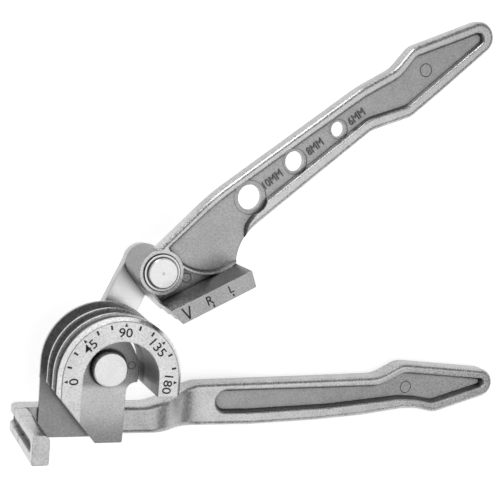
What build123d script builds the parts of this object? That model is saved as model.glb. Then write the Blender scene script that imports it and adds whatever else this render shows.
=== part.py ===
from build123d import *
import os
from math import cos, radians, sin

# Manual tube bender for 6, 8 and 10 mm tube, lying on its back.
# +Z is the wheel's axis and points out of the degree dial, +X runs along the lower handle,
# and the origin is on the wheel's axis in the plane that the tool rests on. Millimetres.

# ---------------------------------------------------------------- tubes
TUBES = (6.0, 8.0, 10.0)  # outer diameters, from the dial side back
GROOVE_CLEARANCE = 0.4  # a groove is this much wider than its tube
GRIP_RADIUS = 27.4  # wheel axis to the outer side of any tube in its groove
GAUGE_CLEARANCE = 0.4  # a gauge hole is this much wider than its tube

# ---------------------------------------------------------------- fits
RUNNING_CLEARANCE = 0.05  # radial, link and washers on the pins
RING_CLEARANCE = 0.05  # radial, snap ring in its groove

# ---------------------------------------------------------------- stack along the wheel's axis, dial first
FRONT_RIM = 2.8
RIB = 1.4  # between two grooves
FLANGE = 1.5  # behind the last groove
HUB_DEPTH = 8.7
THRUST_WASHER = 0.5
LINK_THICKNESS = 5.0
BACK_WASHER = 1.0
RING_PLAY = 0.2
RING_THICKNESS = 1.2
PIN_TAIL = 3.1  # pin end behind the snap ring

wheel_depth = FRONT_RIM + sum(TUBES) + len(TUBES) * GROOVE_CLEARANCE + (len(TUBES) - 1) * RIB + FLANGE
ring_back = PIN_TAIL
ring_front = ring_back + RING_THICKNESS
back_washer_back = ring_front + RING_PLAY
link_back = back_washer_back + BACK_WASHER
link_front = link_back + LINK_THICKNESS
hub_back = link_front + THRUST_WASHER
wheel_back = hub_back + HUB_DEPTH
flange_front = wheel_back + FLANGE
dial = wheel_back + wheel_depth

# ---------------------------------------------------------------- wheel
RIM_RADIUS = 24.4
FLANGE_RADIUS = 24.8
DIAL_BEVEL_WIDTH = 1.25
DIAL_BEVEL_DEPTH = 2.0
CAVITY_RADIUS = 15.1  # arch inside the wheel
CAVITY_DEPTH = 20.0  # dial to web
HUB_RADIUS = 12.0
RING_END = -6.8  # Y where the wheel's right leg stops
BLOCK_RIGHT = 8.0
BLOCK_BOTTOM = -31.0
BLOCK_CORNER = 0.8
WEB_TIP = (12.5, -6.0)
WEB_BULGE = (11.7, 3.8)
WEB_TOP = (3.6, 14.7)
WEB_CORNER = 4.0  # between the block's right side and the web's lower edge
SLANT_TOP = (-23.5, -7.0)  # the block's slanted side passes through these two points
SLANT_FOOT = (-3.2, -31.0)
FLANK_FOOT_LEFT = -24.0

# ---------------------------------------------------------------- lower bar and handle
BAR_TOP = -19.8
BAR_BOTTOM = -31.6
BAR_DEPTH = 12.7  # thickness of the bar's root behind the wheel
ARM_DEPTH = 9.2  # thickness of the arm that carries the hook
BEND_START = 24.0
BEND_END = 47.0
HANDLE_THICKNESS = 9.5
HANDLE_ROUND = 2.2  # outer edges
PANEL_WEB = 3.0  # metal left between the two sunken panels
PANEL_TAPER = 22.0  # draft of the panels' walls, degrees
CREST_ROUND = 0.7  # inner edges of the rims
LOWER_HANDLE = (
    (72.8, -31.8, 60.0),
    (103.8, -30.4, 90.0),
    (127.9, -28.5, 60.0),
    (148.4, -25.7, 14.0),
    (156.2, -25.6, 14.0),
    (166.0, -27.7, 9.0),
    (225.7, -9.6, 6.7),
    (146.7, -3.7, 9.0),
    (134.8, -10.0, 14.0),
    (101.7, -11.2, 90.0),
    (46.6, -12.9, 14.0),
    (32.0, -16.9, 14.0),
    (22.0, BAR_TOP, 14.0),
)
LOWER_PANEL = (
    (55.6, -26.3, 5.2),
    (72.2, -26.4, 60.0),
    (111.1, -24.6, 60.0),
    (146.6, -20.9, 14.0),
    (155.6, -21.4, 14.0),
    (164.4, -23.0, 6.0),
    (201.9, -11.8, 2.4),
    (147.9, -7.7, 9.0),
    (135.6, -13.8, 14.0),
    (101.0, -14.7, 90.0),
    (55.6, -15.7, 5.3),
)

# ---------------------------------------------------------------- hook
HOOK_WIDTH = 6.6
HOOK_TOP = -19.4
HOOK_BOTTOM = -30.9
HOOK_PROUD = 6.0  # in front of the dial
HOOK_ROUND = 2.6
HOOK_EDGE = 0.8
HOOK_CORNER = 3.5  # where the hook turns into its arm
HOOK_ROOT = 4.4  # the arm runs this far under the wheel's rim
HOOK_SLOT_TOP = -22.4
HOOK_SLOT_BOTTOM = -27.2
HOOK_SLOT_DEPTH = 2.2
HOOK_SLOT_MARGIN = 3.0  # slot's end to the hook's end
HOOK_SLOT_ROUND = 2.2
HOOK_SLOT_TAPER = 12.0

# ---------------------------------------------------------------- pins and link
LINK_LENGTH = 43.4
LINK_WIDTH = 15.2
LINK_ANGLE = 65.9  # from +X at rest
LINK_BEVEL = 0.5
PIN_RADIUS = 4.5
AXLE_HEAD_RADIUS = 7.0
AXLE_HEAD_PROUD = 4.2  # in front of the web
AXLE_SEAT_RADIUS = 7.7
AXLE_SEAT_DEPTH = 1.5
SWIVEL_FLANGE_RADIUS = 7.3
SWIVEL_FLANGE = 0.9
SWIVEL_FACE_RADIUS = 6.1
SWIVEL_PROUD = 2.5  # in front of the boss
PIN_BEVEL = 0.4
WASHER_RADIUS = 7.5
RING_GROOVE_RADIUS = 3.6
RING_RADIUS = 6.0
RING_MOUTH = 5.0

# ---------------------------------------------------------------- upper casting, in the shoe's own frame
SHOE_ANGLE = 28.1  # shoe channel from +X at rest
BOSS_RADIUS = 8.05
BLADE_RISE = 18.4  # the blade's top edge leaves the boss at this angle, degrees
BOSS_LENGTH = 25.0
BLADE_THICKNESS = 7.5
SHOE_SETBACK = 0.7  # shoe's back face in front of the wheel's
SHOE_GROOVE_DEPTH = 1.8
SHOE_TOP = -11.0
SHOE_LEFT_TOP = -5.7
SHOE_LEFT_BOTTOM = -3.5
SHOE_RIGHT_TOP = 30.1
SHOE_RIGHT_BOTTOM = 29.3
SIDE_LEAN = 11.0  # the foot's left side meets the boss this far below its middle, degrees
BLADE_ROUND = 2.0  # outer edges of the blade
FOOT_RIGHT = 9.0
FOOT_CURVE_TOP = -13.8
UPPER_HANDLE = (
    (35.5, -1.9, 21.0),
    (106.0, 14.2, 14.0),
    (125.0, 12.0, 9.0),
    (141.2, 16.0, 30.0),
    (209.7, 34.3, 6.9),
    (136.2, 39.1, 9.0),
    (125.0, 34.0, 14.0),
    (108.0, 32.9, 60.0),
    (31.8, 19.1, 90.0),
)
UPPER_PANEL = (
    (5.0, -20.0, 0.0),
    (36.0, -20.0, 0.0),
    (36.0, -9.0, 0.0),
    (40.0, 1.2, 6.0),
    (50.6, 6.6, 0.0),
    (106.0, 19.0, 14.0),
    (125.0, 16.6, 9.0),
    (141.5, 20.9, 30.0),
    (183.8, 31.6, 2.8),
    (136.4, 35.1, 6.0),
    (126.3, 30.1, 14.0),
    (108.5, 29.0, 60.0),
    (66.1, 21.9, 0.0),
    (32.0, 15.9, 90.0),
    (5.0, 7.3, 0.0),
)
PANEL_BOSS_RADIUS = 9.1  # the panels stop this far from the swivel pin's axis
ARC_CENTRE = (25.6, 8.6)  # the wide panel's lower left edge is an arc about this point
ARC_RADIUS = 19.2
ARC_RIM = 0.8  # raised line under that arc
RIM_ROUNDED_ABOVE = 7.0  # in the shoe's frame; lower edges of the wide panel stay sharp
LEFT_RIM = 0.7  # raised line at the left of the three-cornered pocket
GAUGE_CENTRES = ((92.6, 20.7), (69.7, 16.5), (46.2, 11.2))  # for the tubes in their order
GAUGE_SEATS = (4.2, 5.4, 7.0)
GAUGE_SEAT_DEPTH = 0.3


# ---------------------------------------------------------------- helpers
NEAR = 0.01  # how close to a level a face or an edge is picked
os.makedirs("parts", exist_ok=True)


def face_inside(corners):
    """Flat face inside a closed outline, its (x, y, corner radius) given anticlockwise."""
    with BuildSketch() as face:
        with BuildLine():
            points = [(x, y) for x, y, _ in corners]
            FilletPolyline(*points, radius=[radius for _, _, radius in corners], close=True)
        make_face()
    return face.sketch


def groove_levels():
    """(tube, height of its groove's middle) for each groove, from the dial side back."""
    levels = []
    top = dial - FRONT_RIM
    for tube in TUBES:
        width = tube + GROOVE_CLEARANCE
        levels.append((tube, top - width / 2))
        top -= width + RIB
    return levels


def wheel_cuts(side):
    """Groove sections and dial bevel on one side (+1 or -1) of the wheel, in the XZ plane."""
    with BuildSketch() as cuts:
        for tube, level in groove_levels():
            width = tube + GROOVE_CLEARANCE
            centre = side * (GRIP_RADIUS - tube / 2)
            with Locations((centre, level)):
                Circle(width / 2)
                Rectangle(2 * GRIP_RADIUS, width, align=(Align.MIN if side > 0 else Align.MAX, Align.CENTER))
        rim = side * RIM_RADIUS
        bevel_top = side * (RIM_RADIUS - DIAL_BEVEL_WIDTH)
        Polygon((bevel_top, dial), (rim, dial), (rim, dial - DIAL_BEVEL_DEPTH), align=None)
    return cuts.sketch


def arch(radius, foot):
    """Half disc above the X axis with straight legs down to y = foot."""
    with BuildSketch() as face:
        Circle(radius)
        split(bisect_by=Plane.XZ, keep=Keep.BOTTOM)
        Rectangle(2 * radius, -foot, align=(Align.CENTER, Align.MAX))
    return face.sketch


# ---------------------------------------------------------------- lower bar and handle
panel_depth = (HANDLE_THICKNESS - PANEL_WEB) / 2
handle_end = max(x for x, _, _ in LOWER_HANDLE)
hook_outer = -GRIP_RADIUS - HOOK_WIDTH
arm_back = wheel_back - ARM_DEPTH
bar_back = wheel_back - BAR_DEPTH
with BuildPart() as lower_bar:
    with BuildSketch():
        foot = ((-GRIP_RADIUS, BAR_TOP, 0.0), (-GRIP_RADIUS, BAR_BOTTOM, 0.0))
        add(face_inside(foot + LOWER_HANDLE))
    extrude(amount=wheel_back)
    with BuildSketch(Plane.XZ):
        with BuildLine():
            reach = (BEND_END - BEND_START) / 2
            front = Line((hook_outer, wheel_back), (BEND_START, wheel_back))
            front_bend = Bezier(
                front @ 1,
                (BEND_START + reach, wheel_back),
                (BEND_END - reach, HANDLE_THICKNESS),
                (BEND_END, HANDLE_THICKNESS),
            )
            back_bend = Bezier(
                (BEND_END, 0),
                (BEND_END - reach, 0),
                (BEND_START + reach, bar_back),
                (BEND_START, bar_back),
            )
            Polyline(front_bend @ 1, (handle_end, HANDLE_THICKNESS), (handle_end, 0), back_bend @ 0)
            Polyline(
                back_bend @ 1,
                (-HUB_RADIUS, bar_back),
                (-HUB_RADIUS - ARM_DEPTH, arm_back),
                (hook_outer, arm_back),
                front @ 0,
            )
        make_face()
    extrude(amount=-2 * BAR_BOTTOM, both=True, mode=Mode.INTERSECT)
    lengthwise = lower_bar.edges().filter_by(Axis.Z, reverse=True).filter_by(Axis.Y, reverse=True)
    fillet(lengthwise, radius=HANDLE_ROUND)
    for level, outwards in ((HANDLE_THICKNESS, 1), (0, -1)):
        with BuildSketch(Plane.XY.offset(level)):
            add(face_inside(LOWER_PANEL))
        extrude(amount=-outwards * panel_depth, taper=PANEL_TAPER, mode=Mode.SUBTRACT)
        level_faces = lower_bar.faces().filter_by_position(Axis.Z, level - NEAR, level + NEAR)
        rim_face = level_faces.sort_by(SortBy.AREA)[-1]
        fillet(rim_face.inner_wires()[0].edges(), radius=CREST_ROUND)

# ---------------------------------------------------------------- hook
with BuildPart() as hook:
    with BuildSketch(Plane.XZ.offset(-HOOK_TOP)):
        with BuildLine():
            FilletPolyline(
                (hook_outer, dial + HOOK_PROUD),
                (hook_outer, arm_back),
                (HOOK_ROOT - RIM_RADIUS, arm_back),
                (HOOK_ROOT - RIM_RADIUS, wheel_back),
                (-GRIP_RADIUS, wheel_back),
                (-GRIP_RADIUS, dial + HOOK_PROUD),
                radius=[0, HOOK_CORNER, 0, 0, 0, 0],
                close=True,
            )
        make_face()
    extrude(amount=HOOK_TOP - HOOK_BOTTOM)
    long_edges = hook.edges().filter_by(Axis.Z).sort_by(SortBy.LENGTH)[-4:]
    inner_top = long_edges.sort_by(Axis.X)[-2:].sort_by(Axis.Y)[-1]
    fillet(inner_top, radius=HOOK_ROUND)
    upright = hook.edges().filter_by(Axis.Z)
    fillet(upright.filter_by_position(Axis.X, hook_outer - NEAR, hook_outer + NEAR), radius=HOOK_EDGE)
    upright = hook.edges().filter_by(Axis.Z)
    upright = upright.filter_by_position(Axis.X, -GRIP_RADIUS - NEAR, -GRIP_RADIUS + NEAR)
    inner_bottom = upright.filter_by_position(Axis.Y, HOOK_BOTTOM - NEAR, HOOK_BOTTOM + NEAR)
    fillet(inner_bottom, radius=HOOK_EDGE)
    with BuildSketch(Plane.YZ.offset(hook_outer)):
        with BuildLine():
            slot_end = dial + HOOK_PROUD - HOOK_SLOT_MARGIN
            FilletPolyline(
                (HOOK_SLOT_TOP, arm_back),
                (HOOK_SLOT_TOP, slot_end),
                (HOOK_SLOT_BOTTOM, slot_end),
                (HOOK_SLOT_BOTTOM, arm_back),
                radius=[0, HOOK_SLOT_ROUND, HOOK_SLOT_ROUND, 0],
                close=True,
            )
        make_face()
    extrude(amount=HOOK_SLOT_DEPTH, taper=HOOK_SLOT_TAPER, mode=Mode.SUBTRACT)

# ---------------------------------------------------------------- lower casting
seat_floor = dial - CAVITY_DEPTH - AXLE_SEAT_DEPTH
with BuildPart() as lower_casting:
    add(lower_bar.part)
    add(hook.part)
    # Wheel, with the arch hollowed out down to the web.
    with BuildSketch(Plane.XY.offset(flange_front)):
        add(arch(RIM_RADIUS, BLOCK_BOTTOM))
        add(arch(CAVITY_RADIUS, BLOCK_BOTTOM), mode=Mode.SUBTRACT)
        with Locations((CAVITY_RADIUS, RING_END)):
            Rectangle(RIM_RADIUS, -BLOCK_BOTTOM, align=(Align.MIN, Align.MAX), mode=Mode.SUBTRACT)
    extrude(amount=dial - flange_front)
    # Web behind the arch and the block under it.
    with BuildSketch(Plane.XY.offset(wheel_back)):
        with BuildLine():
            FilletPolyline(
                (-RIM_RADIUS, 0),
                (-RIM_RADIUS, BLOCK_BOTTOM),
                (BLOCK_RIGHT, BLOCK_BOTTOM),
                (BLOCK_RIGHT, WEB_TIP[1]),
                WEB_TIP,
                radius=[0, BLOCK_CORNER, WEB_CORNER],
            )
            ThreePointArc(WEB_TIP, WEB_BULGE, WEB_TOP)
            Polyline(WEB_TOP, (0, RIM_RADIUS - WEB_CORNER), (-RIM_RADIUS, 0))
        make_face()
    extrude(amount=dial - CAVITY_DEPTH - wheel_back)
    # Slanted side of the block, down to the flange.
    with BuildSketch(Plane.XY.offset(flange_front)):
        slope = (SLANT_TOP[0] - SLANT_FOOT[0]) / (SLANT_TOP[1] - SLANT_FOOT[1])
        top_left = (SLANT_TOP[0] - slope * SLANT_TOP[1], 0)
        foot_right = (SLANT_FOOT[0] + slope * (BAR_BOTTOM - SLANT_FOOT[1]), BAR_BOTTOM)
        Polygon(top_left, (top_left[0], BAR_BOTTOM), foot_right, align=None)
    extrude(amount=dial - flange_front, mode=Mode.SUBTRACT)
    # Grooves and dial bevel round the rim, and straight down both legs.
    with BuildSketch(Plane.XZ):
        add(wheel_cuts(1))
    revolve(axis=Axis.Z, revolution_arc=180, mode=Mode.SUBTRACT)
    for side in (1, -1):
        with BuildSketch(Plane.XZ):
            add(wheel_cuts(side))
        extrude(amount=-RING_END if side > 0 else -BAR_TOP, mode=Mode.SUBTRACT)
    # The cuts above also reach into the hook's space, so the hook is laid in again.
    add(hook.part)
    # Flange behind the wheel, with the flank beside the block.
    with BuildSketch(Plane.XY.offset(wheel_back)):
        add(arch(FLANGE_RADIUS, RING_END))
        add(arch(CAVITY_RADIUS, RING_END), mode=Mode.SUBTRACT)
        flank = ((-FLANGE_RADIUS, 0), (FLANK_FOOT_LEFT, BAR_BOTTOM), (0, BAR_BOTTOM), (-CAVITY_RADIUS, 0))
        Polygon(*flank, align=None)
    extrude(amount=FLANGE)
    # Hub behind the web, and the bore and seat for the axle pin.
    with BuildSketch(Plane.XY.offset(hub_back)):
        Circle(HUB_RADIUS)
    extrude(amount=HUB_DEPTH)
    with BuildSketch(Plane.XY.offset(hub_back)):
        Circle(PIN_RADIUS)
    extrude(amount=dial, mode=Mode.SUBTRACT)
    with BuildSketch(Plane.XY.offset(seat_floor)):
        Circle(AXLE_SEAT_RADIUS)
    extrude(amount=dial, mode=Mode.SUBTRACT)
lower_casting.part.label = "lower_casting"
export_step(lower_casting.part, "parts/lower_casting.step")


# ---------------------------------------------------------------- link
def polar(radius, angle):
    """Point at a radius and an angle in degrees from +X."""
    return (radius * cos(radians(angle)), radius * sin(radians(angle)))


swivel = polar(LINK_LENGTH, LINK_ANGLE)
boss_front = hub_back + BOSS_LENGTH
with BuildPart() as link_plate:
    with BuildSketch(Plane.XY.offset(link_back)):
        with Locations((swivel[0] / 2, swivel[1] / 2)):
            SlotCenterToCenter(LINK_LENGTH, LINK_WIDTH, rotation=LINK_ANGLE)
    extrude(amount=LINK_THICKNESS)
    chamfer(link_plate.edges().filter_by(Axis.Z, reverse=True), length=LINK_BEVEL)
    with BuildSketch(Plane.XY.offset(link_back)):
        with Locations((0, 0), swivel):
            Circle(PIN_RADIUS + RUNNING_CLEARANCE)
    extrude(amount=LINK_THICKNESS, mode=Mode.SUBTRACT)
link_plate.part.label = "link_plate"
export_step(link_plate.part, "parts/link_plate.step")


# ---------------------------------------------------------------- pins, washers and snap rings
def pin(centre, heads):
    """Headed pin standing on the rest plane; heads are (bottom, top, radius), lowest first."""
    with BuildPart() as part:
        with BuildSketch():
            with Locations(centre):
                Circle(PIN_RADIUS)
        extrude(amount=heads[0][0])
        for bottom, top, radius in heads:
            with BuildSketch(Plane.XY.offset(bottom)):
                with Locations(centre):
                    Circle(radius)
            extrude(amount=top - bottom)
        chamfer(part.edges().group_by(Axis.Z)[-1], length=PIN_BEVEL)
        chamfer(part.edges().group_by(Axis.Z)[0], length=PIN_BEVEL)
        with BuildSketch(Plane.XY.offset(ring_back)):
            with Locations(centre):
                Circle(PIN_RADIUS)
                Circle(RING_GROOVE_RADIUS, mode=Mode.SUBTRACT)
        extrude(amount=RING_THICKNESS, mode=Mode.SUBTRACT)
    return part.part


def disc(centre, bottom, thickness, mouth=0.0, bore=PIN_RADIUS + RUNNING_CLEARANCE, radius=WASHER_RADIUS):
    """Washer, or with a mouth an open snap ring, round a pin."""
    with BuildPart() as part:
        with BuildSketch(Plane.XY.offset(bottom)):
            with Locations(centre):
                Circle(radius)
                Circle(bore, mode=Mode.SUBTRACT)
                if mouth:
                    Rectangle(radius, mouth, align=(Align.MIN, Align.CENTER), mode=Mode.SUBTRACT)
        extrude(amount=thickness)
    return part.part


axle_top = dial - CAVITY_DEPTH + AXLE_HEAD_PROUD
swivel_heads = (
    (boss_front, boss_front + SWIVEL_FLANGE, SWIVEL_FLANGE_RADIUS),
    (boss_front + SWIVEL_FLANGE, boss_front + SWIVEL_PROUD, SWIVEL_FACE_RADIUS),
)
hardware = {
    "axle_pin": pin((0, 0), ((seat_floor, axle_top, AXLE_HEAD_RADIUS),)),
    "swivel_pin": pin(swivel, swivel_heads),
}
ring_bore = RING_GROOVE_RADIUS + RING_CLEARANCE
for name, centre in (("axle", (0, 0)), ("swivel", swivel)):
    hardware[name + "_thrust_washer"] = disc(centre, link_front, THRUST_WASHER)
    hardware[name + "_back_washer"] = disc(centre, back_washer_back, BACK_WASHER)
    snap_ring = disc(centre, ring_back, RING_THICKNESS, RING_MOUTH, ring_bore, RING_RADIUS)
    hardware[name + "_retaining_ring"] = snap_ring
for name, piece in hardware.items():
    piece.label = name
    export_step(piece, f"parts/{name}.step")

# ---------------------------------------------------------------- upper casting
shoe_frame = Plane(origin=(*swivel, 0), x_dir=(*polar(1, SHOE_ANGLE), 0), z_dir=(0, 0, 1))
across_shoe = Plane(origin=shoe_frame.origin, x_dir=shoe_frame.y_dir, z_dir=shoe_frame.x_dir)
tube_line = GRIP_RADIUS - LINK_LENGTH  # where the shoe presses on a tube's outer side
ridge_line = tube_line - SHOE_GROOVE_DEPTH
shoe_back = wheel_back + SHOE_SETBACK
blade_back = boss_front - BLADE_THICKNESS
blade_panel = (BLADE_THICKNESS - PANEL_WEB) / 2
blade_reach = max(x for x, _, _ in UPPER_HANDLE)
boss_top = polar(BOSS_RADIUS, 90 + BLADE_RISE)
boss_side = polar(BOSS_RADIUS, 180 + SIDE_LEAN)

with BuildSketch() as wide_panel:
    add(face_inside(UPPER_PANEL))
    with BuildSketch(mode=Mode.INTERSECT):
        with Locations(ARC_CENTRE):
            Circle(ARC_RADIUS)
        with Locations((ARC_CENTRE[0], ARC_CENTRE[1] - ARC_RADIUS)):
            Rectangle(blade_reach, blade_reach, align=(Align.MIN, Align.MIN))


def in_shoe_frame(edge):
    """Middle of an edge in the shoe's own frame."""
    return shoe_frame.to_local_coords(edge @ 0.5)


def on_panel_outline(edge):
    """Whether the middle of an edge lies on the wide panel's outline."""
    middle = in_shoe_frame(edge)
    return wide_panel.sketch.wire().distance_to(Vertex(middle.X, middle.Y, 0)) < NEAR


with BuildPart() as panel_cutter:
    with BuildSketch(shoe_frame.offset(boss_front)):
        add(wide_panel.sketch)
    extrude(amount=-blade_panel, taper=PANEL_TAPER)
    mirror(about=Plane.XY.offset((boss_front + blade_back) / 2))

with BuildPart() as blade:
    with BuildSketch(shoe_frame.offset(blade_back)):
        root = (boss_top, boss_side, (SHOE_LEFT_TOP, SHOE_TOP), (SHOE_RIGHT_TOP, SHOE_TOP))
        add(face_inside(tuple((*point, 0.0) for point in root) + UPPER_HANDLE))
    extrude(amount=BLADE_THICKNESS)
    outline = blade.edges().filter_by(Axis.Z, reverse=True)
    outline = outline.filter_by(lambda edge: in_shoe_frame(edge).X > 0)
    fillet(outline.filter_by(lambda edge: in_shoe_frame(edge).Y > SHOE_TOP / 2), radius=BLADE_ROUND)
    # Wide panel, sunk into both sides, with the rims' inner edges rounded.
    add(panel_cutter.part, mode=Mode.SUBTRACT)
    crest = blade.edges().filter_by(on_panel_outline)
    crest = crest.filter_by(lambda edge: in_shoe_frame(edge).Y > RIM_ROUNDED_ABOVE)
    fillet(crest.group_by(Axis.Z)[0] + crest.group_by(Axis.Z)[-1], radius=CREST_ROUND)

# Pocket between the boss, the arc and the shoe.
with BuildSketch() as pocket:
    rim = polar(LEFT_RIM, -SIDE_LEAN)
    top_left = (boss_side[0] + rim[0], boss_side[1] + rim[1])
    bottom_left = (SHOE_LEFT_TOP + rim[0], SHOE_TOP)
    Polygon(top_left, bottom_left, (ARC_CENTRE[0], SHOE_TOP), (ARC_CENTRE[0], 0), align=None)
    Circle(PANEL_BOSS_RADIUS - ARC_RIM / 2, mode=Mode.SUBTRACT)
    with Locations(ARC_CENTRE):
        Circle(ARC_RADIUS + ARC_RIM, mode=Mode.SUBTRACT)

# Tail of the foot behind the shoe, rounded off towards the link.
with BuildPart() as foot_tail:
    with BuildSketch(across_shoe):
        with BuildLine():
            corner = Line((SHOE_TOP, shoe_back), (ridge_line, shoe_back))
            curve = Bezier(
                corner @ 1,
                (ridge_line, (shoe_back + hub_back) / 2),
                (FOOT_CURVE_TOP, (shoe_back + hub_back) / 2),
                (FOOT_CURVE_TOP, hub_back),
            )
            Polyline(curve @ 1, (SHOE_TOP, hub_back), (SHOE_TOP, shoe_back))
        make_face()
    extrude(amount=FOOT_RIGHT, both=True)

with BuildPart() as upper_casting:
    add(blade.part)
    with BuildSketch(shoe_frame.offset(boss_front)):
        add(pocket.sketch)
    extrude(amount=-blade_panel, mode=Mode.SUBTRACT)
    # Boss with its collar in the panels, and the foot below it.
    with BuildSketch(shoe_frame.offset(hub_back)):
        Circle(BOSS_RADIUS)
    extrude(amount=BOSS_LENGTH)
    with BuildSketch(shoe_frame.offset(blade_back)):
        Circle(PANEL_BOSS_RADIUS)
    extrude(amount=BLADE_THICKNESS)
    with BuildSketch(shoe_frame.offset(hub_back)):
        foot = (boss_side, (SHOE_LEFT_TOP, SHOE_TOP), (FOOT_RIGHT, SHOE_TOP), (FOOT_RIGHT, 0), (0, 0))
        Polygon(*foot, align=None)
    extrude(amount=blade_back + blade_panel - hub_back)
    add(foot_tail.part)
    # Shoe with its three grooves, cut off slanting at the left.
    with BuildSketch(shoe_frame.offset(shoe_back)):
        Polygon(
            (SHOE_LEFT_TOP, SHOE_TOP),
            (SHOE_LEFT_TOP, ridge_line),
            (SHOE_RIGHT_BOTTOM, ridge_line),
            (SHOE_RIGHT_TOP, SHOE_TOP),
            align=None,
        )
    extrude(amount=dial - shoe_back)
    with BuildSketch(shoe_frame.offset(hub_back)):
        Polygon(
            (SHOE_LEFT_TOP, SHOE_TOP),
            (SHOE_LEFT_TOP - FOOT_RIGHT, SHOE_TOP),
            (SHOE_LEFT_TOP - FOOT_RIGHT, 2 * ridge_line),
            (2 * SHOE_LEFT_BOTTOM - SHOE_LEFT_TOP, 2 * ridge_line - SHOE_TOP),
            align=None,
        )
    extrude(amount=dial - hub_back, mode=Mode.SUBTRACT)
    with BuildSketch(across_shoe):
        for tube, level in groove_levels():
            with Locations((tube_line - tube / 2, level)):
                Circle((tube + GROOVE_CLEARANCE) / 2)
    extrude(amount=2 * SHOE_RIGHT_TOP, both=True, mode=Mode.SUBTRACT)
    # Gauge holes in their round seats.
    for tube, centre, seat in zip(TUBES, GAUGE_CENTRES, GAUGE_SEATS):
        with BuildSketch(shoe_frame.offset(boss_front)):
            with Locations(centre):
                Circle(seat)
        extrude(amount=-blade_panel - GAUGE_SEAT_DEPTH, mode=Mode.SUBTRACT)
        with BuildSketch(shoe_frame.offset(blade_back)):
            with Locations(centre):
                Circle((tube + GAUGE_CLEARANCE) / 2)
        extrude(amount=BLADE_THICKNESS, mode=Mode.SUBTRACT)
    # Bore for the swivel pin.
    with BuildSketch(shoe_frame.offset(hub_back)):
        Circle(PIN_RADIUS)
    extrude(amount=BOSS_LENGTH, mode=Mode.SUBTRACT)
upper_casting.part.label = "upper_casting"
export_step(upper_casting.part, "parts/upper_casting.step")
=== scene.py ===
# %% [markdown]
# # A hand tube bender
# The tool bends 6, 8 and 10 mm tube round a grooved wheel. Two die castings, a steel link and two
# turned pins make up almost all of it. The engineering model gives every solid its true shape, so
# this script keeps those shapes and adds what they lack: the finish of the metal, the dial's scale,
# the letters, and the round marks that a die's ejector pins leave behind.

# %% Load the frame
from math import cos, pi, radians, sin

import bpy
import numpy as np
from mathutils import Matrix, Vector


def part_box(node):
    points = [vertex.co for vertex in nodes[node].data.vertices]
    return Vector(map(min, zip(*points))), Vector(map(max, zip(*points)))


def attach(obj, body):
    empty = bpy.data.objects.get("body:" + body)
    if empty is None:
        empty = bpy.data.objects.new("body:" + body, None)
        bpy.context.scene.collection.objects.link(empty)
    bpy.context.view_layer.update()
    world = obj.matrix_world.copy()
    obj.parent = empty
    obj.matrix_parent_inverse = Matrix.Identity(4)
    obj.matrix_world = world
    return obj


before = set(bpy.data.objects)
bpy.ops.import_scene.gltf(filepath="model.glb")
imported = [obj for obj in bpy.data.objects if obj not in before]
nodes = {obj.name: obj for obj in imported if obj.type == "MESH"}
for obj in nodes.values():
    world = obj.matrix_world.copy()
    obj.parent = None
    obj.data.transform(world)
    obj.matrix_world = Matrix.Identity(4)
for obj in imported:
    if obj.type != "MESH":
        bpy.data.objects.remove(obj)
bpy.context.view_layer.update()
MM = 0.001  # the frame is in metres

# %% [markdown]
# ## Measures that everything shares
# Two levels and both pins' axes are read from the model's own boxes. The rest are measures of the
# castings, which a box doesn't show. The dial is level with the shoe's front, which is the highest
# face of the upper casting. The lower handle and the upper casting's blade are plates, so the height
# of a plate's middle tells how far a point of its surface is sunk. The shoe has its own frame, with
# the swivel pin's axis as its origin.

# %% Levels and centres from the model
axle_low, axle_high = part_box("axle_pin")
swivel_low, swivel_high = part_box("swivel_pin")
axle = (axle_low + axle_high) / 2
swivel = (swivel_low + swivel_high) / 2
dial_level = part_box("upper_casting")[1].z  # the shoe's front and the dial are level
rest_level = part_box("lower_casting")[0].z
HANDLE_THICKNESS = 9.5 * MM
handle_middle = rest_level + HANDLE_THICKNESS / 2
BLADE_MIDDLE = 32.25 * MM
PANEL_HALF_WEB = 1.5 * MM  # half of the metal left between a plate's two sunken panels
WEB_LEVEL = 32.0 * MM  # floor of the wheel's arch
DIAL_RADIUS = 24.4 * MM
ARCH_RADIUS = 15.1 * MM
SHOE_ANGLE = radians(28.1)  # the shoe's channel, from the line of the lower handle
print("dial at", round(dial_level / MM, 2), "mm, swivel at", [round(c / MM, 2) for c in swivel])

# %% [markdown]
# ## Camera
# The tool lies on its back, and the camera looks down on it from the upper left. A camera is easiest
# to read as a target, two angles, a distance and a roll about its own line of sight.

# %% Place the camera
CAMERA_TARGET = Vector((58.4, 48.6, 26.0)) * MM
CAMERA_AZIMUTH = radians(160.7)
CAMERA_ELEVATION = radians(66.65)
CAMERA_DISTANCE = 498.4 * MM
CAMERA_ROLL = radians(113.1)
CAMERA_LENS, CAMERA_SENSOR = 86.4, 36  # millimetres, as Blender counts lenses
camera_data = bpy.data.cameras.new("camera")
camera_data.lens = CAMERA_LENS
camera_data.sensor_width = CAMERA_SENSOR
camera = bpy.data.objects.new("camera", camera_data)
bpy.context.scene.collection.objects.link(camera)
sight = Vector((
    cos(CAMERA_ELEVATION) * cos(CAMERA_AZIMUTH),
    cos(CAMERA_ELEVATION) * sin(CAMERA_AZIMUTH),
    sin(CAMERA_ELEVATION),
))
turn = sight.to_track_quat("Z", "Y").to_matrix() @ Matrix.Rotation(CAMERA_ROLL, 3, "Z")
camera.matrix_world = Matrix.Translation(CAMERA_TARGET + sight * CAMERA_DISTANCE) @ turn.to_4x4()
bpy.context.scene.camera = camera
print("camera at", [round(c, 3) for c in camera.matrix_world.translation])

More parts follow.
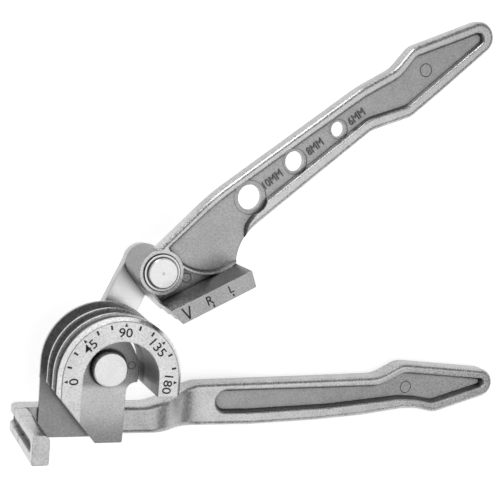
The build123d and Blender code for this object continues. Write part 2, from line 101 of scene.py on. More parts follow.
# %% [markdown]
# ## Studio
# Bare metal shows what is round it more than its own colour, so the studio is half of the finish.
# The world is grey overhead so that edges read. A wide lamp above lights the flat faces, a smaller one
# makes the bright side, and a weak third opens the shadows. Towards the horizon the world turns pale,
# so the floor runs out into it. The floor shows as white, still takes the tool's shadow, and is clear
# from below, where it would hide the tool's back.

# %% Helpers for the studio


def node_tree(owner):
    """Empties an owner's node tree and returns its nodes and links."""
    owner.use_nodes = True
    owner.node_tree.nodes.clear()
    return owner.node_tree.nodes, owner.node_tree.links


def smooth_step(node, start, end, low, high):
    """Sets a Map Range node to a smooth step from low at start to high at end."""
    node.interpolation_type = "SMOOTHSTEP"
    for name, number in zip(("From Min", "From Max", "To Min", "To Max"), (start, end, low, high)):
        node.inputs[name].default_value = number


def shown_ray(tree_nodes, links):
    """1 for camera, mirror and glass rays, and 0 for the light that falls on things."""
    path = tree_nodes.new("ShaderNodeLightPath")
    first = tree_nodes.new("ShaderNodeMath")
    second = tree_nodes.new("ShaderNodeMath")
    first.operation = second.operation = "MAXIMUM"
    links.new(path.outputs["Is Camera Ray"], first.inputs[0])
    links.new(path.outputs["Is Glossy Ray"], first.inputs[1])
    links.new(first.outputs[0], second.inputs[0])
    links.new(path.outputs["Is Transmission Ray"], second.inputs[1])
    return second.outputs[0]


def lamp(name, place, aim, size, power):
    """Square area lamp at a place, turned to an aim: metres for places and size, watts for power."""
    data = bpy.data.lights.new(name, "AREA")
    data.shape = "SQUARE"
    data.size = size
    data.energy = power
    made = bpy.data.objects.new(name, data)
    bpy.context.scene.collection.objects.link(made)
    made.location = place
    made.rotation_euler = (Vector(aim) - Vector(place)).to_track_quat("-Z", "Y").to_euler()
    return made


print("studio helpers ready")

# %% Floor
FLOOR_SIZE = 6.0
FLOOR_GAP = 0.2 * MM  # below the plane that the tool rests on
FLOOR_GREY = 0.9
FLOOR_GLOW = 0.62  # what only the camera, mirrors and glass see
half = FLOOR_SIZE / 2
floor_mesh = bpy.data.meshes.new("floor")
floor_mesh.from_pydata(
    [(x, y, -FLOOR_GAP) for x, y in ((-half, -half), (half, -half), (half, half), (-half, half))],
    [],
    [(0, 1, 2, 3)],
)
floor = bpy.data.objects.new("floor", floor_mesh)
bpy.context.scene.collection.objects.link(floor)
floor_paint = bpy.data.materials.new("floor_paint")
floor_nodes, floor_links = node_tree(floor_paint)
floor_matt = floor_nodes.new("ShaderNodeBsdfDiffuse")
floor_matt.inputs["Color"].default_value = (FLOOR_GREY, FLOOR_GREY, FLOOR_GREY, 1)
floor_glow = floor_nodes.new("ShaderNodeEmission")
floor_sum = floor_nodes.new("ShaderNodeAddShader")
floor_out = floor_nodes.new("ShaderNodeOutputMaterial")
floor_level = floor_nodes.new("ShaderNodeMath")
floor_level.operation = "MULTIPLY"
floor_level.inputs[1].default_value = FLOOR_GLOW
floor_links.new(shown_ray(floor_nodes, floor_links), floor_level.inputs[0])
floor_links.new(floor_level.outputs[0], floor_glow.inputs["Strength"])
floor_links.new(floor_matt.outputs[0], floor_sum.inputs[0])
floor_links.new(floor_glow.outputs[0], floor_sum.inputs[1])
floor_side = floor_nodes.new("ShaderNodeNewGeometry")
floor_clear = floor_nodes.new("ShaderNodeBsdfTransparent")
floor_mix = floor_nodes.new("ShaderNodeMixShader")
floor_links.new(floor_side.outputs["Backfacing"], floor_mix.inputs["Fac"])
floor_links.new(floor_sum.outputs[0], floor_mix.inputs[1])
floor_links.new(floor_clear.outputs[0], floor_mix.inputs[2])
floor_links.new(floor_mix.outputs[0], floor_out.inputs["Surface"])
floor_mesh.materials.append(floor_paint)
print("floor:", FLOOR_SIZE, "m square")

# %% World and lamps
HORIZON_LIGHT, OVERHEAD_LIGHT = 0.92, 0.26
HORIZON_HEIGHT, OVERHEAD_HEIGHT = 0.05, 0.5  # heights of a direction, where straight up is 1
world = bpy.data.worlds.new("studio")
bpy.context.scene.world = world
world_nodes, world_links = node_tree(world)
world_sky = world_nodes.new("ShaderNodeBackground")
world_sky.inputs["Color"].default_value = (1, 1, 1, 1)
world_way = world_nodes.new("ShaderNodeTexCoord")
world_split = world_nodes.new("ShaderNodeSeparateXYZ")
world_fade = world_nodes.new("ShaderNodeMapRange")
smooth_step(world_fade, HORIZON_HEIGHT, OVERHEAD_HEIGHT, HORIZON_LIGHT, OVERHEAD_LIGHT)
world_links.new(world_way.outputs["Generated"], world_split.inputs[0])
world_links.new(world_split.outputs["Z"], world_fade.inputs["Value"])
world_links.new(world_fade.outputs["Result"], world_sky.inputs["Strength"])
world_out = world_nodes.new("ShaderNodeOutputWorld")
world_links.new(world_sky.outputs[0], world_out.inputs["Surface"])

tool_middle = tuple(CAMERA_TARGET)
lamp("top_lamp", (0.35, -0.05, 1.15), tool_middle, 0.95, 2.9)
lamp("key_lamp", (-0.3, 0.95, 0.55), tool_middle, 0.32, 2.4)
lamp("fill_lamp", (0.75, -0.7, 0.45), tool_middle, 0.5, 0.5)
bpy.context.scene.view_settings.view_transform = "Standard"
print("studio ready")

# %% [markdown]
# ## Writing shader sums
# A finish here is a sum of a few masks: how deep a point lies, how near an edge it is, how the grain
# falls. Written node by node such a sum is long, so a small helper adds Math nodes and takes numbers
# or sockets alike.

# %% Helpers for shader sums
ROUNDING_SAMPLES = 4
MASK_SAMPLES = 8  # rays that the corner and edge masks send out round each point
FLAT_COSINE, EDGE_COSINE = 0.99, 0.88  # how far the rounded normal has turned where an edge's mask is 0 and 1


class Sheet:
    """A material's node tree with short words for the few nodes that the finishes use."""

    def __init__(self, name):
        self.material = bpy.data.materials.new(name)
        self.nodes, self.links = node_tree(self.material)
        self.where = self.nodes.new("ShaderNodeTexCoord")
        split = self.nodes.new("ShaderNodeSeparateXYZ")
        self.links.new(self.where.outputs["Object"], split.inputs[0])
        self.x, self.y, self.z = split.outputs
        facing = self.nodes.new("ShaderNodeSeparateXYZ")
        self.links.new(self.where.outputs["Normal"], facing.inputs[0])
        self.up = facing.outputs[2]

    def feed(self, socket, value):
        """Links a socket's value, or sets a plain number."""
        if hasattr(value, "is_output"):
            self.links.new(value, socket)
        else:
            socket.default_value = value

    def sum(self, operation, *values):
        """Result of one Math node."""
        node = self.nodes.new("ShaderNodeMath")
        node.operation = operation
        for socket, value in zip(node.inputs, values):
            self.feed(socket, value)
        return node.outputs[0]

    def product(self, first, *others):
        """Product of values. A product of masks is 1 only where every one of them is."""
        for other in others:
            first = self.sum("MULTIPLY", first, other)
        return first

    def total(self, start, *shares):
        """Start plus each mask times its own weight."""
        for mask, weight in shares:
            start = self.sum("MULTIPLY_ADD", mask, weight, start)
        return start

    def swing(self, noise, spread, middle=1.0):
        """Middle plus spread times how far a noise is from one half."""
        return self.sum("MULTIPLY_ADD", self.sum("SUBTRACT", noise, 0.5), spread, middle)

    def length(self, east, north):
        """Root of the sum of two squares."""
        return self.sum("SQRT", self.sum("ADD", self.product(east, east), self.product(north, north)))

    def reach(self, centre):
        """Distance from the line that stands on the tool's plane at a centre."""
        return self.length(self.sum("SUBTRACT", self.x, centre[0]), self.sum("SUBTRACT", self.y, centre[1]))

    def ramp(self, value, start, end, low=0.0, high=1.0):
        """Smooth step from low at start to high at end, whichever of start and end is larger."""
        node = self.nodes.new("ShaderNodeMapRange")
        smooth_step(node, start, end, low, high)
        self.feed(node.inputs["Value"], value)
        return node.outputs["Result"]

    def band(self, value, start, end, soft):
        """1 between start and end, and 0 outside them."""
        return self.product(
            self.ramp(value, start - soft, start + soft),
            self.ramp(value, end - soft, end + soft, 1.0, 0.0),
        )

    def slope(self, start, end):
        """Ramp over how squarely a face looks up or down: 1 for a level face, 0 for a steep wall."""
        return self.ramp(self.sum("ABSOLUTE", self.up), start, end)

    def noise(self, spacing, detail=2.0, stretch=(1, 1, 1), turned=0.0):
        """Noise whose lumps are about spacing metres apart, stretched along the tool's axes."""
        mapping = self.nodes.new("ShaderNodeMapping")
        mapping.inputs["Scale"].default_value = stretch
        mapping.inputs["Rotation"].default_value = (0, 0, turned)
        self.links.new(self.where.outputs["Object"], mapping.inputs["Vector"])
        node = self.nodes.new("ShaderNodeTexNoise")
        node.inputs["Scale"].default_value = 1 / spacing
        node.inputs["Detail"].default_value = detail
        self.links.new(mapping.outputs[0], node.inputs["Vector"])
        return node.outputs["Fac"]

    def grey(self, value):
        """Turns a single value into a neutral colour."""
        node = self.nodes.new("ShaderNodeCombineColor")
        for socket in node.inputs[:3]:
            self.feed(socket, value)
        return node.outputs[0]

    def crevice(self, reach):
        """1 in the open and less in a corner, looking reach metres round each point."""
        node = self.nodes.new("ShaderNodeAmbientOcclusion")
        node.samples = MASK_SAMPLES
        node.inputs["Distance"].default_value = reach
        return node.outputs["AO"]

    def rounded(self, reach, samples):
        """Normal averaged over reach metres, as if the edges were rounded."""
        node = self.nodes.new("ShaderNodeBevel")
        node.samples = samples
        node.inputs["Radius"].default_value = reach
        return node.outputs[0]

    def edge(self, reach):
        """1 on an edge and 0 on flat metal, from the cosine between the rounded normal and the true one."""
        geometry = self.nodes.new("ShaderNodeNewGeometry")
        turn = self.nodes.new("ShaderNodeVectorMath")
        turn.operation = "DOT_PRODUCT"
        self.links.new(self.rounded(reach, MASK_SAMPLES), turn.inputs[0])
        self.links.new(geometry.outputs["Normal"], turn.inputs[1])
        return self.ramp(turn.outputs["Value"], FLAT_COSINE, EDGE_COSINE)

    def finish(self, colour, roughness, height, metallic=1.0, depth=0.05 * MM, rounding=0.25 * MM):
        """Surface with rounded-looking edges, a bump of a given depth, and the given grey."""
        shader = self.nodes.new("ShaderNodeBsdfPrincipled")
        shader.inputs["Metallic"].default_value = metallic
        bump = self.nodes.new("ShaderNodeBump")
        bump.inputs["Strength"].default_value = 1.0
        bump.inputs["Distance"].default_value = depth
        self.feed(bump.inputs["Height"], height)
        self.links.new(self.rounded(rounding, ROUNDING_SAMPLES), bump.inputs["Normal"])
        self.links.new(bump.outputs[0], shader.inputs["Normal"])
        self.feed(shader.inputs["Base Color"], self.grey(colour))
        self.feed(shader.inputs["Roughness"], roughness)
        out = self.nodes.new("ShaderNodeOutputMaterial")
        self.links.new(shader.outputs[0], out.inputs["Surface"])
        return self.material


print("shader helper ready")

# %% [markdown]
# ## Cast alloy
# Rims and flat faces are satin and light, and sunken floors are darker. Edges get a painted highlight,
# which also stands for edges rubbed bright. The walls of the sunken panels, the handles' sides and
# every corner get painted shade. So the alloy's colour starts from a light grey, and masks take some
# away. A mask is a range of heights, of slopes or of distances from a pin's axis, which follows the
# shape without painting any face by hand. A region's weight is a step of grey: a positive one darkens,
# and a negative one lightens.

# %% Cast alloy shared by both castings
ALLOY_GREY = 0.54
EDGE_HIGHLIGHT_AND_WEAR = 0.16  # how much lighter an edge is: a painted highlight, partly standing for rubbed wear
WALL_SHADE = 0.26  # how much darker a sunken panel's wall is, as painted shade
SIDE_SHADE = 0.09  # how much darker a handle's side is, as painted shade
EDGE_WIDTH = 0.35 * MM
CORNER_REACH = 3 * MM  # how far round a point the search for corners looks
HANDLE_ROOT = 26 * MM, 34 * MM  # the painted shade on the handles' sides sets in between these places along the tool
GRAIN_SPACING, GRAIN_SPREAD = 0.8 * MM, 1.45
BLOTCH_SPACING, BLOTCH_SPREAD = 6 * MM, 0.35
BLOTCH_HEIGHT = 0.6  # height of the blotches in the bump, where the grain's is 1
DULLING = 0.45  # roughness that each unit of darkness adds


def cast_alloy(name, regions):
    """Cast alloy: a light grey less each mask's darkness, times grain, blotches and painted corner shade.

    Edges then add a painted highlight, partly standing for rubbed wear, and dark metal is rougher.
    """
    sheet = Sheet(name)
    grain = sheet.noise(GRAIN_SPACING, 4.0)
    blotch = sheet.noise(BLOTCH_SPACING, 3.0)
    crevice = sheet.crevice(CORNER_REACH)
    steep = sheet.slope(0.65, 0.45)
    # painted shade on steep walls that stand in corners
    wall = sheet.product(steep, sheet.ramp(crevice, 0.93, 0.80))
    # painted shade on the handles' steep sides
    side = sheet.product(steep, sheet.ramp(sheet.x, *HANDLE_ROOT))
    dark = sheet.total(regions(sheet), (wall, WALL_SHADE), (side, SIDE_SHADE))
    grained = sheet.product(sheet.sum("SUBTRACT", ALLOY_GREY, dark), sheet.swing(grain, GRAIN_SPREAD))
    # the blotches' random tone, times painted shade that darkens corners
    blotches_and_corner_shade = sheet.product(sheet.swing(blotch, BLOTCH_SPREAD), sheet.ramp(crevice, 0.25, 0.95, 0.30, 1.0))
    # painted highlight along convex edges, partly standing for edges rubbed bright
    highlit_and_rubbed_edge = sheet.product(sheet.edge(EDGE_WIDTH), sheet.ramp(crevice, 0.75, 0.95))
    colour = sheet.total(sheet.product(grained, blotches_and_corner_shade), (highlit_and_rubbed_edge, EDGE_HIGHLIGHT_AND_WEAR))
    rough = sheet.sum("ADD", sheet.ramp(grain, 0.3, 0.7, 0.24, 0.36), sheet.product(dark, DULLING))
    height = sheet.sum("ADD", grain, sheet.product(blotch, BLOTCH_HEIGHT))
    return sheet.finish(colour, rough, height, depth=0.03 * MM, rounding=0.45 * MM)


print("cast alloy, grey", ALLOY_GREY)

# %% [markdown]
# Two masks serve both castings. The floors of a plate's sunken panels are found by how near they lie
# to the plate's middle, so one mask does for front and back. Towards the handle's tip its darkness
# fades. The other is the level that the dial and the shoe's front share.

# %% Masks that serve both castings
PANEL_TIP_SHARE = 0.35  # share of a panel's darkness left at the handle's tip
TIP_FADE_START, TIP_FADE_END = 130 * MM, 185 * MM
PANEL_FADE = PANEL_HALF_WEB + 0.2 * MM, PANEL_HALF_WEB + 1.4 * MM  # from a panel's floor up its wall


def sunk(sheet, middle, start):
    """1 on the panel floors of a plate whose middle height is given, beyond a start along the tool."""
    depth = sheet.sum("ABSOLUTE", sheet.sum("SUBTRACT", sheet.z, middle))
    flat = sheet.slope(0.55, 0.8)
    tip_fade = sheet.ramp(sheet.x, TIP_FADE_START, TIP_FADE_END, 1.0, PANEL_TIP_SHARE)
    near = sheet.ramp(depth, *PANEL_FADE, 1.0, 0.0)
    return sheet.product(flat, near, sheet.product(sheet.ramp(sheet.x, start, start + 1 * MM), tip_fade))


def at_dial_level(sheet):
    """1 on the level that the dial and the shoe's front share, and 0 behind it."""
    return sheet.ramp(sheet.z, dial_level - 0.15 * MM, dial_level - 0.05 * MM)


print("panels fade to", PANEL_TIP_SHARE, "of their darkness at the tip")

# %% [markdown]
# ## The lower casting's regions
# Most of them lie on the wheel, so they are ranges of height within ranges of distance from its axis.
# The wheel's ring runs on straight below the axis, which is why a point there counts only its step to
# the side. The grooves get the most painted shade, then the arch and the block's foot, and the flank
# and the bar's front get a little. The dial's face is a little lighter than the rest, its bevel gets a
# painted highlight, and a dark line parts the two.

# %% Regions of the lower casting
LOWER_PANEL_START = 50 * MM
GROOVES_BACK = 21.4 * MM  # just in front of the flange behind the last groove
grooves_front = dial_level - 2.9 * MM  # just behind the dial's own rim
BEVEL_RADIUS = 23.15 * MM
BEVEL_DEPTH = 2.0 * MM
ARCH_BACK = 15 * MM  # low enough to take in the arch's floor
FLANK_BACK, FLANK_FRONT = 20 * MM, 21.5 * MM  # heights round the front of the flange and the flank
RING_END = -9 * MM, -6 * MM  # the ring's legs end between these places, and the block goes on
BLOCK_SHADE = -14 * MM, -31 * MM  # the block darkens between these places, towards its foot
BAR_SHADE = 52 * MM, 44 * MM  # the bar's front darkens between these places, towards the wheel
BAR_FRONT = 24 * MM, 23 * MM  # and only below these heights, because the block stands above them
# the weights of groove, arch, flank, foot and bar are painted shade; the bevel's is a painted highlight
LOWER_WEIGHTS = {
    "panel": 0.17, "groove": 0.32, "arch": 0.24, "flank": 0.13, "block": 0.04,
    "foot": 0.20, "dial": -0.05, "bevel": -0.16, "line": 0.24, "bar": 0.08,
}


def lower_regions(sheet):
    """Darkness of the lower casting: each region's mask times its weight."""
    reach = sheet.length(sheet.x, sheet.sum("MAXIMUM", sheet.y, 0.0))
    ring = sheet.ramp(sheet.y, *RING_END)
    rim = sheet.band(reach, ARCH_RADIUS + 0.4 * MM, DIAL_RADIUS - 0.9 * MM, 0.4 * MM)
    inside = sheet.ramp(reach, ARCH_RADIUS - 0.1 * MM, ARCH_RADIUS + 0.1 * MM, 1.0, 0.0)
    on_wheel = sheet.ramp(reach, DIAL_RADIUS + 0.8 * MM, DIAL_RADIUS + 0.6 * MM)
    on_bevel = sheet.product(on_wheel, sheet.ramp(reach, BEVEL_RADIUS - 0.1 * MM, BEVEL_RADIUS))
    block_level = sheet.band(sheet.z, WEB_LEVEL - 1 * MM, WEB_LEVEL + 0.5 * MM, 0.2 * MM)
    masks = {"panel": sunk(sheet, handle_middle, LOWER_PANEL_START)}
    # painted shade in the wheel's grooves
    masks["groove"] = sheet.product(rim, sheet.band(sheet.z, GROOVES_BACK, grooves_front, 0.1 * MM))
    # painted shade on the recess inside the wheel's ring
    masks["arch"] = sheet.product(
        inside, ring, sheet.band(sheet.z, ARCH_BACK, dial_level - 0.3 * MM, 0.2 * MM)
    )
    # painted shade on the flank beside the block
    masks["flank"] = sheet.product(
        sheet.band(sheet.z, FLANK_BACK, FLANK_FRONT, 0.2 * MM), sheet.ramp(sheet.x, 2 * MM, 0.0)
    )
    masks["block"] = sheet.product(sheet.sum("SUBTRACT", 1.0, ring), block_level)
    # painted shade that deepens down the block towards its foot
    masks["foot"] = sheet.product(masks["block"], sheet.ramp(sheet.y, *BLOCK_SHADE))
    masks["dial"] = sheet.product(on_wheel, at_dial_level(sheet))
    # painted highlight on the dial's bevel
    masks["bevel"] = sheet.product(
        on_bevel, sheet.band(sheet.z, dial_level - BEVEL_DEPTH, dial_level - 0.1 * MM, 0.05 * MM)
    )
    masks["line"] = sheet.product(
        masks["dial"], sheet.band(reach, BEVEL_RADIUS - 0.35 * MM, BEVEL_RADIUS, 0.08 * MM)
    )
    # painted shade on the bar's front, deepening towards the wheel
    masks["bar"] = sheet.product(
        sheet.ramp(sheet.x, *BAR_SHADE), sheet.ramp(sheet.up, 0.6, 0.8), sheet.ramp(sheet.z, *BAR_FRONT)
    )
    return sheet.total(0.0, *((masks[name], weight) for name, weight in LOWER_WEIGHTS.items()))


lower_alloy = cast_alloy("lower_alloy", lower_regions)
print("lower casting:", len(LOWER_WEIGHTS), "regions")

# %% [markdown]
# ## The upper casting's regions
# The panels and the shoe's front are darker than the rims. The side of the boss round the swivel pin
# stands in a shaded pocket, and a line of painted shadow shows where the pin meets the boss.

# %% Regions of the upper casting
BOSS_RADIUS = 8.05 * MM
PANEL_DARK, FRONT_DARK, BOSS_DARK, PIN_LINE_SHADE = 0.15, 0.15, 0.25, 0.42
LETTER_DARK = 0.36  # letters and ejector rings are this much darker than a rim


def upper_regions(sheet):
    """Darkness of the upper casting: panels, the shoe's front, the boss's side and the line round the pin."""
    reach = sheet.reach(swivel)
    near_boss = sheet.ramp(reach, BOSS_RADIUS + 1.5 * MM, BOSS_RADIUS + 1.3 * MM)
    return sheet.total(
        0.0,
        (sunk(sheet, BLADE_MIDDLE, 0.0), PANEL_DARK),
        (at_dial_level(sheet), FRONT_DARK),
        (sheet.product(sheet.slope(0.5, 0.3), near_boss), BOSS_DARK),
        # painted shadow where the pin meets the boss
        (sheet.ramp(reach, BOSS_RADIUS - 0.2 * MM, BOSS_RADIUS - 0.35 * MM), PIN_LINE_SHADE),
    )


upper_alloy = cast_alloy("upper_alloy", upper_regions)
letter_alloy = cast_alloy("letter_alloy", lambda sheet: LETTER_DARK)
print("cast alloys ready")

# %% [markdown]
# ## Steel pieces
# The link is blanked from rolled sheet. Its faces show the rolling as fine lines along it, and its cut
# edge is torn and duller. The pins and washers are turned on a lathe, which leaves fine rings about
# each piece's own axis. The swivel pin's head also has a ring of painted shadow at its shoulder and the
# small mark of the lathe's centre. Steel pieces get painted shade in corners. Snap rings are dark spring
# steel.

# %% Rolled steel
CUT_DARK = 0.40  # share of its brightness that the cut edge lacks
ROLLED_STRETCH = (0.025, 1, 1)  # lines 40 times as long as they are wide


def rolled_steel(name, direction):
    """Rolled sheet: a light grey with noise stretched along a direction in the tool's plane."""
    sheet = Sheet(name)
    lines = sheet.noise(0.25 * MM, 2.0, stretch=ROLLED_STRETCH, turned=-direction)
    skin = sheet.noise(9 * MM, 2.0)
    crevice = sheet.ramp(sheet.crevice(5 * MM), 0.4, 0.95, 0.5, 1.0)
    shade = sheet.product(crevice, sheet.ramp(skin, 0.2, 0.8, 0.9, 1.0))
    cut = sheet.total(1.0, (sheet.slope(0.55, 0.35), -CUT_DARK))
    colour = sheet.product(sheet.swing(lines, 0.14, 0.88), shade, cut)
    return sheet.finish(colour, sheet.ramp(skin, 0.3, 0.7, 0.26, 0.36), lines, depth=0.008 * MM)


link_direction = np.arctan2(swivel.y, swivel.x)
print("link's grain runs at", round(float(np.degrees(link_direction)), 1), "degrees")

# %% Turned and spring steel
RING_SPACING = 0.3 * MM
RING_TONE = 0.02  # how far the rings swing the grey up and down
SHOULDER_WIDTH, SHOULDER_SHADE = 0.5 * MM, 0.75
SPOT_DARK = 0.3
SPRING_GREY, SPRING_ROUGHNESS = 0.3, 0.42


def turned_steel(name, centre, grey=0.78, roughness=0.3, shoulder=0.0, spot=0.0):
    """Turned steel: a sine of the distance from the piece's own axis, made uneven by noise.

    Corners get painted shade, a ring of painted shadow lies at the shoulder's radius, and the small spot left
    by the lathe's centre is darker.
    """
    sheet = Sheet(name)
    reach = sheet.reach(centre)
    smear = sheet.noise(1.6 * MM, 3.0)
    phase = sheet.total(sheet.product(reach, 2 * pi / RING_SPACING), (smear, 3.0))
    rings = sheet.sum("SINE", phase)
    # painted shade in corners
    crevice = sheet.ramp(sheet.crevice(2 * MM), 0.3, 0.9, 0.35, 1.0)
    tone = sheet.total(sheet.ramp(smear, 0.2, 0.8, grey - 0.08, grey), (rings, RING_TONE))
    colour = sheet.product(tone, crevice)
    if shoulder:
        # painted shadow ring at the shoulder; the lathe's centre mark is darker
        ring = sheet.band(reach, shoulder, shoulder + SHOULDER_WIDTH, 0.15 * MM)
        mark = sheet.ramp(reach, spot, spot / 2)
        colour = sheet.product(colour, sheet.total(1.0, (ring, -SHOULDER_SHADE), (mark, -SPOT_DARK)))
    rough = sheet.ramp(smear, 0.3, 0.7, roughness - 0.04, roughness + 0.05)
    return sheet.finish(colour, rough, rings, depth=0.004 * MM)


print("turned steel ready")

# %% Each model node gets its finish
pin_head = {"axle": (0.0, 0.0), "swivel": (6.1 * MM, 0.9 * MM)}  # radii of shoulder and centre mark
finishes = {
    "lower_casting": lower_alloy,
    "upper_casting": upper_alloy,
    "link_plate": rolled_steel("rolled_steel", link_direction),
}
for side, centre in (("axle", axle), ("swivel", swivel)):
    bright = turned_steel(side + "_turned_steel", centre)
    shoulder, spot = pin_head[side]
    finishes[side + "_pin"] = turned_steel(side + "_pin_steel", centre, shoulder=shoulder, spot=spot)
    finishes[side + "_thrust_washer"] = bright
    finishes[side + "_back_washer"] = bright
    finishes[side + "_retaining_ring"] = turned_steel(
        side + "_spring_steel", centre, SPRING_GREY, SPRING_ROUGHNESS
    )
for name, material in finishes.items():
    node = nodes[name]
    node.data.materials.clear()
    node.data.materials.append(material)
print("finished", len(finishes), "nodes of", len(nodes))

# %% [markdown]
# ## Marks
# The scale and its letters are filled with black paint, and stand a hair above the metal. Each is a
# thin closed block: straight marks are worked out from their corners, and the figures come from a
# font, which is turned into a mesh before it is placed.

# %% Black paint and how a mark is put in place
PAINT_GREY, WORN_GREY = 0.02, 0.10
PAINT_HEIGHT = 0.05 * MM
PAINT_ROOT = 0.03 * MM  # how far a mark reaches into the metal


def black_paint():
    """Matt black paint: where its noise is high, it is worn greyer and rougher."""
    sheet = Sheet("black_paint")
    wear = sheet.noise(0.5 * MM, 2.0)
    colour = sheet.ramp(wear, 0.55, 0.75, PAINT_GREY, WORN_GREY)
    rough = sheet.ramp(wear, 0.3, 0.7, 0.5, 0.7)
    return sheet.finish(colour, rough, wear, metallic=0.0, depth=0.01 * MM, rounding=0.02 * MM)


def add_piece(name, points, faces, material, body):
    """New mesh piece from arrays of points and faces, riding on a body."""
    mesh = bpy.data.meshes.new(name)
    mesh.from_pydata(np.asarray(points).tolist(), [], [list(face) for face in faces])
    mesh.validate()
    mesh.update()
    mesh.materials.append(material)
    made = bpy.data.objects.new(name, mesh)
    bpy.context.scene.collection.objects.link(made)
    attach(made, body)
    return made


paint = black_paint()
print("paint stands", PAINT_HEIGHT / MM, "mm above the metal")

# %% Straight marks and lettering


def blocks(outlines, bottom, top):
    """Closed prisms over convex outlines, each an array of anticlockwise points, as points and faces."""
    points, faces = [], []
    for outline in outlines:
        count, start = len(outline), len(points)
        for level in (bottom, top):
            points.extend((x, y, level) for x, y in outline)
        faces.append([start + i for i in reversed(range(count))])
        faces.append([start + count + i for i in range(count)])
        for i in range(count):
            after = (i + 1) % count
            faces.append([start + i, start + after, start + count + after, start + count + i])
    return points, faces


def turned(outline, angle, centre):
    """Outline turned about the origin and then moved to a centre."""
    matrix = np.array([[cos(angle), -sin(angle)], [sin(angle), cos(angle)]])
    return np.asarray(outline) @ matrix.T + np.asarray(centre)


def lettering(text, size, centre, angle, level, thickness, boldness=0.008):
    """Points and faces of a line of text, its middle at a centre and its root in the metal.

    The size is the text's width and height, and the text is stretched to it. Boldness widens every
    stroke, as a share of the font's own size.
    """
    curve = bpy.data.curves.new("lettering", "FONT")
    curve.body = text
    curve.extrude = 0.5
    curve.offset = boldness
    curve.resolution_u = 4
    holder = bpy.data.objects.new("lettering", curve)
    bpy.context.scene.collection.objects.link(holder)
    bpy.context.view_layer.update()
    mesh = bpy.data.meshes.new_from_object(holder.evaluated_get(bpy.context.evaluated_depsgraph_get()))
    points = np.empty(len(mesh.vertices) * 3)
    mesh.vertices.foreach_get("co", points)
    points = points.reshape(-1, 3)
    faces = [list(polygon.vertices) for polygon in mesh.polygons]
    low, high = points.min(0), points.max(0)
    flat = (points[:, :2] - (low + high)[:2] / 2) / (high - low)[:2] * size
    placed = np.empty_like(points)
    placed[:, :2] = turned(flat, angle, centre)
    placed[:, 2] = np.where(points[:, 2] > 0, level + thickness, level - PAINT_ROOT)
    bpy.data.objects.remove(holder)
    bpy.data.meshes.remove(mesh)
    bpy.data.curves.remove(curve)
    return placed, faces


def merged(parts):
    """Several lots of points and faces as one."""
    points, faces = [], []
    for some_points, some_faces in parts:
        faces.extend([len(points) + i for i in face] for face in some_faces)
        points.extend(tuple(point) for point in some_points)
    return points, faces


def add_painted(name, outlines, body):
    """Painted piece of straight marks on the level that the dial and the shoe's front share."""
    add_piece(name, *blocks(outlines, dial_level - PAINT_ROOT, dial_level + PAINT_HEIGHT), paint, body)


def painted_text(text, size, centre, angle):
    """Lettering in black paint on that same level."""
    return lettering(text, size, centre, angle, dial_level, PAINT_HEIGHT)


print("mark helpers ready")

# %% [markdown]
# ## The dial
# The scale runs clockwise from 0 at the left to 180 at the right, with a bar at every step and a
# small arrowhead in place of the bar at 0, 45, 90, 135 and 180. The figures stand inside the bars
# with their tops outwards.

# %% Bars, arrowheads and figures of the dial
SCALE_STEPS = 12
STEP_DEGREES = 15  # what a step stands for
SCALE_START = radians(181.5)
SCALE_STEP = radians(15.35)
BAR_INNER, BAR_OUTER, BAR_HALF_WIDTH = 20.3 * MM, 22.1 * MM, 0.38 * MM
ARROW_INNER, ARROW_OUTER, ARROW_HALF_WIDTH = 21.0 * MM, 22.5 * MM, 0.62 * MM
FIGURE_RADIUS, FIGURE_HEIGHT, FIGURE_WIDTH = 18.65 * MM, 3.6 * MM, 2.6 * MM
FIGURE_GAP = 0.2 * MM
FIGURE_EVERY = 3
NARROW_ONE = 0.65  # width of a figure 1, as a share of the others'
LAST_SHIFT = radians(3)  # the last figure stands this much further round than its arrowhead

scale_marks = []
figures = []
for step in range(SCALE_STEPS + 1):
    angle = SCALE_START - step * SCALE_STEP
    if step % FIGURE_EVERY:
        bar = [(BAR_INNER, -BAR_HALF_WIDTH), (BAR_OUTER, -BAR_HALF_WIDTH),
               (BAR_OUTER, BAR_HALF_WIDTH), (BAR_INNER, BAR_HALF_WIDTH)]
        scale_marks.append(turned(bar, angle, (0, 0)))
        continue
    arrow = [(ARROW_INNER, -ARROW_HALF_WIDTH), (ARROW_OUTER, 0), (ARROW_INNER, ARROW_HALF_WIDTH)]
    scale_marks.append(turned(arrow, angle, (0, 0)))
    text = str(step * STEP_DEGREES)
    full_widths = len(text) - text.count("1") * (1 - NARROW_ONE)
    width = FIGURE_WIDTH * full_widths + FIGURE_GAP * (len(text) - 1)
    lean = angle - (LAST_SHIFT if step == SCALE_STEPS else 0)
    centre = (FIGURE_RADIUS * cos(lean), FIGURE_RADIUS * sin(lean))
    figures.append(painted_text(text, (width, FIGURE_HEIGHT), centre, lean - pi / 2))
add_painted("dial_marks", scale_marks, "lower")
add_piece("dial_figures", *merged(figures), paint, "lower")
print("dial:", len(scale_marks), "marks and", len(figures), "figures")

# %% [markdown]
# ## The shoe's index marks
# The front of the shoe carries an arrowhead of two strokes, and two letters that each stand over a
# short bar. Places are in the shoe's own frame: along its channel, then across.

# %% Arrowhead and letters on the shoe
STROKE_HALF_WIDTH = 0.33 * MM
ARROW_TIP = (-0.2, -17.0)


def on_shoe(along, across):
    """Point in the tool's plane for a place in the shoe's frame, in millimetres."""
    return turned([(along * MM, across * MM)], SHOE_ANGLE, (swivel.x, swivel.y))[0]


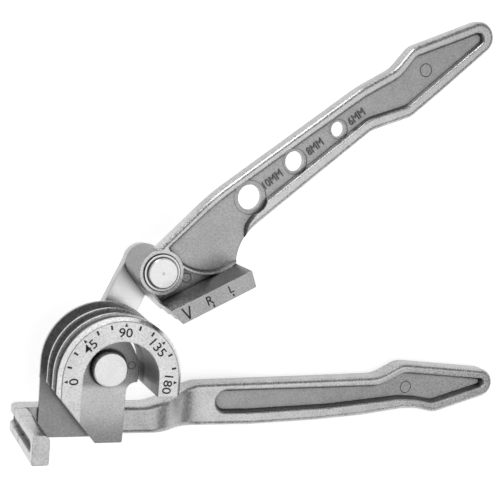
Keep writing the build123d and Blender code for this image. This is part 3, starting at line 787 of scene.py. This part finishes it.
def stroke(start, end):
    """Straight stroke between two places in the shoe's frame: its ends moved half a width to each side."""
    first, last = np.array(on_shoe(*start)), np.array(on_shoe(*end))
    along = (last - first) / np.linalg.norm(last - first)
    across = np.array([-along[1], along[0]]) * STROKE_HALF_WIDTH
    return np.array([first - across, last - across, last + across, first + across])


index_strokes = [
    stroke((-1.8, -11.9), ARROW_TIP),
    stroke((1.4, -12.1), ARROW_TIP),
    stroke((10.6, -16.2), (10.6, -17.3)),
    stroke((19.5, -16.0), (19.5, -17.0)),
]
index_letters = [
    painted_text("R", (2.7 * MM, 3.7 * MM), on_shoe(9.9, -14.0), SHOE_ANGLE),
    painted_text("L", (1.9 * MM, 3.0 * MM), on_shoe(19.5, -13.8), SHOE_ANGLE),
]
add_painted("index_bars", index_strokes, "upper")
add_piece("index_letters", *merged(index_letters), paint, "upper")
print("index marks on the shoe:", len(index_strokes) + len(index_letters))

# %% [markdown]
# ## Size marks and ejector marks
# Beside each gauge hole its tube size stands raised from the panel, as cast. Round ejector pins push
# a casting out of its die, and leave shallow rings: such a ring is a low half-round ridge carried
# round a circle.

# %% Raised sizes
RAISED = 0.35 * MM
SIZE_HEIGHT = 3.5 * MM
SIZE_ANGLE = SHOE_ANGLE + radians(13)  # the blade leans up from the line of the shoe's channel
panel_floor = BLADE_MIDDLE + PANEL_HALF_WEB
sizes = [  # the text, its middle in the shoe's frame and its width, in millimetres
    ("10MM", (57.9, 14.0), 9.4),
    ("8MM", (80.1, 18.5), 8.0),
    ("6MM", (102.0, 22.3), 8.2),
]
raised = [
    lettering(text, (width * MM, SIZE_HEIGHT), on_shoe(*place), SIZE_ANGLE, panel_floor, RAISED, 0.0)
    for text, place, width in sizes
]
add_piece("size_marks", *merged(raised), letter_alloy, "upper")
print("raised sizes:", len(raised))

# %% Ejector rings
RING_TURNS, RING_ROWS = 48, 7


def ridge_ring(centre, level, radius, half_width, height):
    """Ridge round a circle: around it by an angle, over it by the half circle from inner to outer foot."""
    around, over = np.meshgrid(
        np.linspace(0, 2 * pi, RING_TURNS, endpoint=False), np.linspace(0, pi, RING_ROWS), indexing="ij"
    )
    distance = radius - half_width * np.cos(over)
    lift = level - PAINT_ROOT + (height + PAINT_ROOT) * np.sin(over)
    east, north = centre[0] + distance * np.cos(around), centre[1] + distance * np.sin(around)
    points = np.stack([east, north, lift], -1)
    index = np.arange(RING_TURNS * RING_ROWS).reshape(RING_TURNS, RING_ROWS)
    after = np.roll(index, -1, 0)
    strip = np.stack([index[:, :-1], after[:, :-1], after[:, 1:], index[:, 1:]], -1).reshape(-1, 4)[:, ::-1]
    foot = np.stack([index[:, -1], after[:, -1], after[:, 0], index[:, 0]], -1)[:, ::-1]
    return points.reshape(-1, 3), np.concatenate([strip, foot]).tolist()


upper_rings = [
    ridge_ring(on_shoe(139.1, 27.3), panel_floor, 2.7 * MM, 0.2 * MM, 0.15 * MM),
    ridge_ring(on_shoe(8.9, -7.2), panel_floor, 1.9 * MM, 0.18 * MM, 0.15 * MM),
    ridge_ring(on_shoe(-3.9, -8.1), panel_floor, 2.2 * MM, 0.18 * MM, 0.15 * MM),
]
lower_rings = [
    ridge_ring((9.6 * MM, 0.9 * MM), WEB_LEVEL, 1.5 * MM, 0.15 * MM, 0.12 * MM),
    ridge_ring((150.7 * MM, -15.8 * MM), handle_middle + PANEL_HALF_WEB, 2.7 * MM, 0.2 * MM, 0.15 * MM),
]
add_piece("upper_ejector_marks", *merged(upper_rings), letter_alloy, "upper")
add_piece("lower_ejector_marks", *merged(lower_rings), letter_alloy, "lower")
print("ejector rings:", len(upper_rings) + len(lower_rings))
